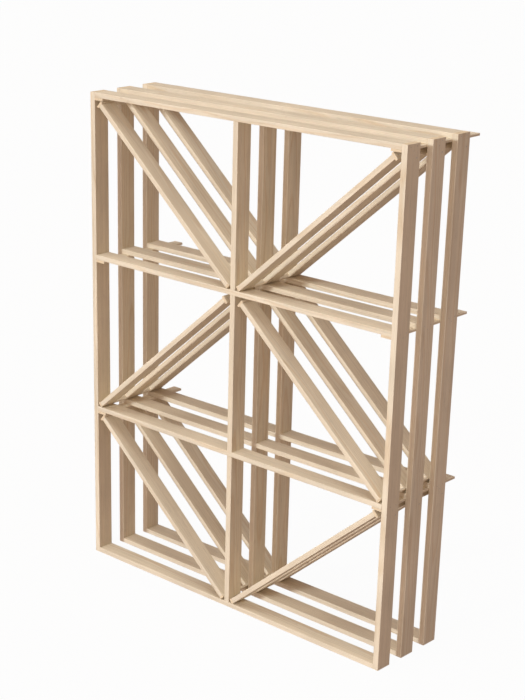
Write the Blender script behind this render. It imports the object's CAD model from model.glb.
"""Looks for a slatted pine wine rack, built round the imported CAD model."""

import bmesh
import bpy
import math
import random
from mathutils import Matrix, Vector


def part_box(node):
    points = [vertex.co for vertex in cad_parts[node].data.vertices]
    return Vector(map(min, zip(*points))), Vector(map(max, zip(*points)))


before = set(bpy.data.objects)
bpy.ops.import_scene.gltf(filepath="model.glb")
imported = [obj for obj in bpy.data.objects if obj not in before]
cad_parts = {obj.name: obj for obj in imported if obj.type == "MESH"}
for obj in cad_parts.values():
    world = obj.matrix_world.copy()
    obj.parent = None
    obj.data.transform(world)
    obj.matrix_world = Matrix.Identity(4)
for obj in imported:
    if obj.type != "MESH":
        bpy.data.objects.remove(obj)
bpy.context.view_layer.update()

X, Y, Z = Vector((1, 0, 0)), Vector((0, 1, 0)), Vector((0, 0, 1))


# ---------- shader helpers ----------

def srgb(red, green, blue):
    """A display colour from 0 to 255, as linear light with alpha."""
    def linear(value):
        return value / 12.92 if value <= 0.04045 else ((value + 0.055) / 1.055) ** 2.4
    return (linear(red / 255), linear(green / 255), linear(blue / 255), 1.0)


def scaled(colour, factor):
    """A linear colour made lighter or darker."""
    return tuple(min(1.0, part * factor) for part in colour[:3]) + (1.0,)


class Graph:
    """Short ways to add and join the nodes of one material."""

    def __init__(self, name):
        self.material = bpy.data.materials.new(name)
        self.material.use_nodes = True
        self.tree = self.material.node_tree
        self.tree.nodes.clear()

    def put(self, target, value):
        if isinstance(value, bpy.types.NodeSocket):
            self.tree.links.new(value, target)
        else:
            target.default_value = value

    def add(self, kind, inputs=(), **settings):
        """A node with its settings, and its inputs by name or number."""
        node = self.tree.nodes.new(kind)
        for key, value in settings.items():
            setattr(node, key, value)
        for key, value in dict(inputs).items():
            self.put(node.inputs[key], value)
        return node

    def calc(self, operation, a, b=0.0, clamp=False):
        return self.add("ShaderNodeMath", {0: a, 1: b}, operation=operation,
                        use_clamp=clamp).outputs[0]

    def vector(self, operation, a, b):
        return self.add("ShaderNodeVectorMath", {0: a, 1: b}, operation=operation).outputs[0]

    def noise(self, place, detail=2.0):
        return self.add("ShaderNodeTexNoise", {"Vector": place, "Scale": 1.0,
                                               "Detail": detail}).outputs["Fac"]

    def spread(self, value, low, high, to_low=0.0, to_high=1.0):
        return self.add("ShaderNodeMapRange", {0: value, 1: low, 2: high, 3: to_low, 4: to_high},
                        clamp=True).outputs[0]

    def curve(self, factor, stops):
        """A grey value that follows stops of (place, value)."""
        node = self.add("ShaderNodeValToRGB", {"Fac": factor})
        points = node.color_ramp.elements
        while len(points) < len(stops):
            points.new(0.5)
        for point, (place, value) in zip(points, stops):
            point.position = place
            point.color = (value, value, value, 1.0)
        return node.outputs["Color"]

    def mix(self, factor, a, b, blend="MIX"):
        return self.add("ShaderNodeMix", {0: factor, 6: a, 7: b}, data_type="RGBA",
                        blend_type=blend).outputs[2]

    def finish(self, **sockets):
        """The surface shader. Underscores in the socket names stand for spaces."""
        shader = self.add("ShaderNodeBsdfPrincipled",
                          {key.replace("_", " "): value for key, value in sockets.items()})
        self.add("ShaderNodeOutputMaterial", {"Surface": shader.outputs[0]})
        return self.material


# ---------- boards ----------

class Board:
    """One wooden piece: its own axes (grain, width, thickness), middle and half sizes."""

    def __init__(self, name, axes):
        self.name = name
        self.axes = axes
        self.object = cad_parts[name]
        corners = [axes.transposed() @ v.co for v in self.object.data.vertices]
        low = Vector(min(c[i] for c in corners) for i in range(3))
        high = Vector(max(c[i] for c in corners) for i in range(3))
        self.middle = (low + high) / 2
        self.half = (high - low) / 2
        self.centre = axes @ self.middle


def axes_of(grain, width):
    """A rotation with these two columns and their cross product, such as a board's thickness."""
    return Matrix((grain, width, grain.cross(width))).transposed()


def slope_of(name):
    """The angle above the floor of a diagonal slat, from its box and the slats' thickness."""
    low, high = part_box("bottom_slat_front")
    thick = (high - low).z
    low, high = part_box(name)
    run, rise = (high - low).x, (high - low).z
    angle = math.atan2(rise, run)
    # The square ends add to the box by an amount that depends on the angle, so it is closed in on.
    for _ in range(20):
        angle = math.atan2(rise - thick * math.cos(angle), run - thick * math.sin(angle))
    return angle


def diagonal_direction(row, side):
    """The way that a bin's diagonal climbs. Each row mirrors the row below it."""
    angle = slope_of(f"diagonal_slat_{row}_{side}_front")
    climbs_right = (row == "middle") != (side == "right")
    return Vector((math.cos(angle) * (1 if climbs_right else -1), 0, math.sin(angle)))


def boards():
    """Every wooden piece, with its grain along its length."""
    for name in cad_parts:
        words = name.split("_")
        if name.endswith("nails") or name == "brads":
            continue
        if "post" in words:
            yield Board(name, axes_of(Z, Y))
        elif "cleat" in words:
            yield Board(name, axes_of(Y, X))
        elif words[0] == "diagonal":
            yield Board(name, axes_of(diagonal_direction(words[2], words[3]), Y))
        elif "strip" in words:
            along = diagonal_direction(words[2], words[3])
            yield Board(name, axes_of(Y, Y.cross(along)))
        else:
            yield Board(name, axes_of(X, Y))


# How wide the long arrises are eased, in metres, and the share of it at the sawn ends.
LONG_EASE = 0.0012
END_EASE_SHARE = 0.35


def ease_edges(board):
    """Rounds the arrises that the planer and the saw leave, and none at the nail holes."""
    mesh = board.object.data
    inverse = board.axes.transposed()
    near = 1e-5

    def faces_at(vertex):
        place = inverse @ vertex.co - board.middle
        return {(i, place[i] > 0) for i in range(3) if abs(abs(place[i]) - board.half[i]) < near}

    touching = [faces_at(v) for v in mesh.vertices]
    weight = mesh.attributes.new("bevel_weight_edge", "FLOAT", "EDGE")
    for edge in mesh.edges:
        shared = touching[edge.vertices[0]] & touching[edge.vertices[1]]
        if len(shared) == 2:
            at_end = any(axis == 0 for axis, _ in shared)
            weight.data[edge.index].value = END_EASE_SHARE if at_end else 1.0
    weld = board.object.modifiers.new("weld", "WELD")
    weld.merge_threshold = near
    bevel = board.object.modifiers.new("ease", "BEVEL")
    bevel.limit_method = "WEIGHT"
    bevel.width = LONG_EASE
    bevel.segments = 3
    bevel.use_clamp_overlap = False
    bevel.harden_normals = True


# ---------- materials ----------

EARLY_WOOD = srgb(240, 231, 210)
LATE_WOOD = srgb(216, 188, 146)
END_GRAIN = srgb(228, 208, 174)
BARE_EDGE = srgb(248, 240, 224)
TONE = (0.965, 1.03)

# The log: how often a board is cut flat to the rings, and in metres how far its middle is from the
# log's axis, how wide the rings are and how much they waver. The taper is per metre of length.
FLAT_SAWN_SHARE = 0.6
HEART_DISTANCE = (0.025, 0.07)
RING_WIDTH = (0.0024, 0.0038)
RING_TAPER = (-0.012, 0.012)
RING_WAVER = 0.016

DARK_ZINC = srgb(196, 194, 190)
LIGHT_ZINC = srgb(226, 224, 220)
TARNISH = srgb(150, 140, 128)


def board_place(g, board):
    """Coordinates in the board's own axes, in metres from its middle."""
    place = g.add("ShaderNodeTexCoord").outputs["Object"]
    node = g.add("ShaderNodeMapping", {"Vector": place, "Location": board.centre,
                                       "Rotation": board.axes.to_euler()}, vector_type="TEXTURE")
    return node.outputs[0]


def streaks(g, place, rng, along, across, detail=2.0):
    """Noise drawn out along the grain: about so many turns per metre along and across."""
    stretched = g.vector("MULTIPLY", place, (along, across, across))
    seed = Vector(rng.uniform(-40, 40) for _ in range(3))
    return g.noise(g.vector("ADD", stretched, seed), detail)


def growth_rings(g, place, rng):
    """How much latewood a point has, in a log whose axis runs beside the board."""
    flat_sawn = rng.random() < FLAT_SAWN_SHARE
    away = rng.uniform(*HEART_DISTANCE)
    turn = rng.uniform(-0.5, 0.5) + (math.pi / 2 if flat_sawn else 0.0)
    ring_width = rng.uniform(*RING_WIDTH)
    taper = rng.uniform(*RING_TAPER)
    split = g.add("ShaderNodeSeparateXYZ", {0: place})
    bend = [g.calc("MULTIPLY", g.calc("SUBTRACT", streaks(g, place, rng, 2.5, 9), 0.5), RING_WAVER)
            for _ in range(2)]
    across = g.calc("ADD", g.calc("SUBTRACT", split.outputs[1], away * math.cos(turn)), bend[0])
    deep = g.calc("ADD", g.calc("SUBTRACT", split.outputs[2], away * math.sin(turn)), bend[1])
    radius = g.calc("SQRT", g.calc("ADD", g.calc("MULTIPLY", across, across),
                                   g.calc("MULTIPLY", deep, deep)))
    radius = g.calc("ADD", radius, g.calc("MULTIPLY", split.outputs[0], taper))
    count = g.calc("DIVIDE", radius, ring_width)
    year = g.calc("FLOOR", count)
    dryness = g.add("ShaderNodeTexWhiteNoise", {"W": year}, noise_dimensions="1D").outputs["Value"]
    late = g.curve(g.calc("FRACT", count), ((0.0, 0.15), (0.12, 0.0), (0.5, 0.12), (0.86, 1.0),
                                            (1.0, 0.3)))
    return g.calc("MULTIPLY", late, g.spread(dryness, 0.0, 1.0, 0.45, 1.0))


def arris_mask(g, place, board, wear):
    """1 along the eased edges of a board and 0 a few millimetres in from them."""
    inward = g.vector("SUBTRACT", tuple(board.half), g.vector("ABSOLUTE", place, (0, 0, 0)))
    split = g.add("ShaderNodeSeparateXYZ", {0: inward}).outputs
    nearer = g.calc("MINIMUM", split[1], split[2])
    farther = g.calc("MAXIMUM", split[1], split[2])
    second = g.calc("MAXIMUM", nearer, g.calc("MINIMUM", farther, split[0]))
    return g.calc("MULTIPLY", g.spread(second, 0.0026, 0.0004), g.spread(wear, 0.35, 0.65))


def end_mask(g, board):
    """1 on the sawn ends of a board and 0 along it."""
    normal = g.add("ShaderNodeTexCoord").outputs["Normal"]
    along = g.add("ShaderNodeVectorMath", {0: normal, 1: board.axes.col[0]},
                  operation="DOT_PRODUCT").outputs["Value"]
    return g.spread(g.calc("ABSOLUTE", along), 0.6, 0.9)


def long_grain(g, tone, late, fibre, band, cloud, duct):
    """The colour of a planed face: rings, shaded by fibre, bands, soft patches and resin ducts."""
    colour = g.mix(g.calc("MULTIPLY", late, 0.5), scaled(EARLY_WOOD, tone), scaled(LATE_WOOD, tone))
    shade = g.calc("MULTIPLY", g.spread(fibre, 0.25, 0.75, 0.91, 1.06),
                   g.calc("MULTIPLY", g.spread(band, 0.3, 0.7, 0.94, 1.04),
                          g.spread(cloud, 0.3, 0.7, 0.92, 1.05)))
    shade = g.calc("MULTIPLY", shade, g.spread(duct, 0.70, 0.80, 1.0, 0.78))
    return g.mix(1.0, colour, shade, "MULTIPLY")


def end_grain(g, tone, late):
    """The colour of a sawn end, with its darker latewood."""
    return g.mix(1.0, scaled(END_GRAIN, tone), g.spread(late, 0.0, 1.0, 1.1, 0.72), "MULTIPLY")


def pine(board):
    """Planed pine with growth rings, fibre, resin ducts, end grain and rubbed edges."""
    rng = random.Random(board.name)
    g = Graph("pine_" + board.name)
    place = board_place(g, board)
    late = growth_rings(g, place, rng)
    fibre = streaks(g, place, rng, along=14, across=1100, detail=3.0)
    band = streaks(g, place, rng, along=1.6, across=130)
    cloud = streaks(g, place, rng, along=6.0, across=16)
    duct = streaks(g, place, rng, along=45, across=1500, detail=0.0)
    tone = rng.uniform(*TONE)

    end = end_mask(g, board)
    colour = g.mix(g.calc("MULTIPLY", end, 0.75), long_grain(g, tone, late, fibre, band, cloud, duct),
                   end_grain(g, tone, late))
    rubbed = arris_mask(g, place, board, cloud)
    colour = g.mix(g.calc("MULTIPLY", rubbed, 0.25), colour, BARE_EDGE)

    rough = g.spread(late, 0.0, 1.0, 0.62, 0.48)
    rough = g.calc("ADD", rough, g.spread(fibre, 0.2, 0.8, -0.05, 0.06))
    rough = g.calc("ADD", rough, g.calc("MULTIPLY", end, 0.2), clamp=True)
    height = g.calc("ADD", g.calc("MULTIPLY", fibre, 0.6), g.calc("MULTIPLY", late, 0.35))
    bump = g.add("ShaderNodeBump", {"Strength": 0.35, "Distance": 0.0004, "Height": height})
    return g.finish(Base_Color=colour, Roughness=rough, Normal=bump.outputs[0],
                    Specular_IOR_Level=0.35)


def galvanised_steel(name):
    """Bright zinc with a soft spangle and a little tarnish."""
    g = Graph(name)
    place = g.add("ShaderNodeTexCoord").outputs["Object"]
    spangle = g.noise(g.vector("MULTIPLY", place, (900, 900, 900)), 2.0)
    tarnish = g.noise(g.vector("MULTIPLY", place, (160, 160, 160)), 3.0)
    colour = g.mix(g.spread(spangle, 0.3, 0.7), DARK_ZINC, LIGHT_ZINC)
    colour = g.mix(g.spread(tarnish, 0.5, 0.75, 0.0, 0.4), colour, TARNISH)
    rough = g.spread(spangle, 0.3, 0.7, 0.3, 0.48)
    bump = g.add("ShaderNodeBump", {"Strength": 0.2, "Distance": 0.0002, "Height": spangle})
    return g.finish(Base_Color=colour, Metallic=1.0, Roughness=rough, Normal=bump.outputs[0])


def dress(thing, material):
    """Gives a CAD piece one material in place of its own."""
    thing.data.materials.clear()
    thing.data.materials.append(material)


for wooden in boards():
    dress(wooden.object, pine(wooden))
    ease_edges(wooden)
for group in ("brads", "diagonal_nails"):
    dress(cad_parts[group], galvanised_steel("steel_" + group))


# ---------- camera, floor and light ----------

# The photo is an off-centre crop of a wider view, which the lens shift stands for.
AIM = Vector((-0.2927, -0.010, 0.2803))
AZIMUTH, ELEVATION, ROLL = math.radians(43.94), math.radians(21.41), math.radians(0.45)
DISTANCE = 4.359
LENS = 84.75
SENSOR = 36.0
SHIFT = (0.1169, 0.1571)

FLOOR_REACH = 60.0
PAPER_BOUNCE, PAPER_GLOW = 0.03, 0.957
DOME_RADIUS, DOME_GLOW = 50.0, 0.982
FILL_COLOUR = (1.0, 0.745, 0.633, 1.0)
FILL_IN_FRONT, FILL_ELSEWHERE = 0.59, 0.32


def camera():
    """A long lens from the front right, a little above the rack."""
    data = bpy.data.cameras.new("camera")
    data.sensor_width = SENSOR
    data.lens = LENS
    data.shift_x, data.shift_y = SHIFT
    back = Vector((math.sin(AZIMUTH) * math.cos(ELEVATION),
                   -math.cos(AZIMUTH) * math.cos(ELEVATION), math.sin(ELEVATION)))
    level = Vector((math.cos(AZIMUTH), math.sin(AZIMUTH), 0))
    up = back.cross(level)
    right = level * math.cos(ROLL) + up * math.sin(ROLL)
    turned = up * math.cos(ROLL) - level * math.sin(ROLL)
    thing = bpy.data.objects.new("camera", data)
    bpy.context.scene.collection.objects.link(thing)
    thing.matrix_world = Matrix.Translation(AIM + back * DISTANCE) @ axes_of(right, turned).to_4x4()
    bpy.context.scene.camera = thing


def paper():
    """Plain white paper that glows, so that it hardly takes a shadow."""
    g = Graph("paper")
    place = g.add("ShaderNodeTexCoord").outputs["Object"]
    tooth = g.noise(g.vector("MULTIPLY", place, (60, 60, 60)), 3.0)
    white = (PAPER_BOUNCE, PAPER_BOUNCE, PAPER_BOUNCE, 1.0)
    return g.finish(Base_Color=g.mix(tooth, white, scaled(white, 0.97)), Roughness=0.9,
                    Specular_IOR_Level=0.0, Emission_Color=(1, 1, 1, 1),
                    Emission_Strength=PAPER_GLOW)


def plain_light():
    """White that looks the same from everywhere."""
    g = Graph("white")
    light = g.add("ShaderNodeEmission", {"Color": (1, 1, 1, 1), "Strength": DOME_GLOW})
    g.add("ShaderNodeOutputMaterial", {"Surface": light.outputs[0]})
    return g.material


def add_to_stage(name, mesh, material):
    """A piece of the surroundings that gives the rack neither light nor reflections."""
    mesh.materials.append(material)
    thing = bpy.data.objects.new(name, mesh)
    bpy.context.scene.collection.objects.link(thing)
    thing.visible_diffuse = False
    thing.visible_glossy = False
    return thing


def floor():
    """A wide, level floor."""
    mesh = bpy.data.meshes.new("floor")
    around = ((-1, -1), (1, -1), (1, 1), (-1, 1))
    corners = [(x * FLOOR_REACH, y * FLOOR_REACH, 0) for x, y in around]
    mesh.from_pydata(corners, [], [(0, 1, 2, 3)])
    add_to_stage("floor", mesh, paper())


def backdrop():
    """A white dome that only the camera sees, so that the floor has no horizon."""
    mesh = bpy.data.meshes.new("backdrop")
    form = bmesh.new()
    bmesh.ops.create_icosphere(form, subdivisions=3, radius=DOME_RADIUS)
    form.to_mesh(mesh)
    form.free()
    dome = add_to_stage("backdrop", mesh, plain_light())
    dome.visible_transmission = False
    dome.visible_shadow = False


def lamp(name, strength, colour, angle, towards):
    """A lamp far away, in the direction that towards points to, and so many degrees wide."""
    data = bpy.data.lights.new(name, "SUN")
    data.energy = strength
    data.color = colour
    data.angle = math.radians(angle)
    thing = bpy.data.objects.new(name, data)
    bpy.context.scene.collection.objects.link(thing)
    thing.rotation_euler = Vector(towards).to_track_quat("Z", "Y").to_euler()


def surroundings():
    """A warm fill from all round, brighter from the front of the rack."""
    world = bpy.data.worlds.new("studio")
    bpy.context.scene.world = world
    world.use_nodes = True
    nodes, links = world.node_tree.nodes, world.node_tree.links
    place = nodes.new("ShaderNodeTexCoord")
    split = nodes.new("ShaderNodeSeparateXYZ")
    strength = nodes.new("ShaderNodeMapRange")
    links.new(place.outputs["Generated"], split.inputs[0])
    links.new(split.outputs["Y"], strength.inputs["Value"])
    # Y is -1 straight in front of the rack, and 0 at its sides.
    strength.inputs["From Min"].default_value = -1.0
    strength.inputs["From Max"].default_value = 0.0
    strength.inputs["To Min"].default_value = FILL_IN_FRONT
    strength.inputs["To Max"].default_value = FILL_ELSEWHERE
    sky = nodes["Background"]
    sky.inputs["Color"].default_value = FILL_COLOUR
    links.new(strength.outputs[0], sky.inputs["Strength"])


camera()
floor()
backdrop()
surroundings()
lamp("key", strength=1.62, colour=(0.985, 1.0, 0.99), angle=7, towards=(-0.01, -1.0, 0.30))
lamp("overhead", strength=1.15, colour=(1.0, 0.98, 0.92), angle=30, towards=(0.0, -0.18, 1.0))
bpy.context.scene.view_settings.view_transform = "Standard"
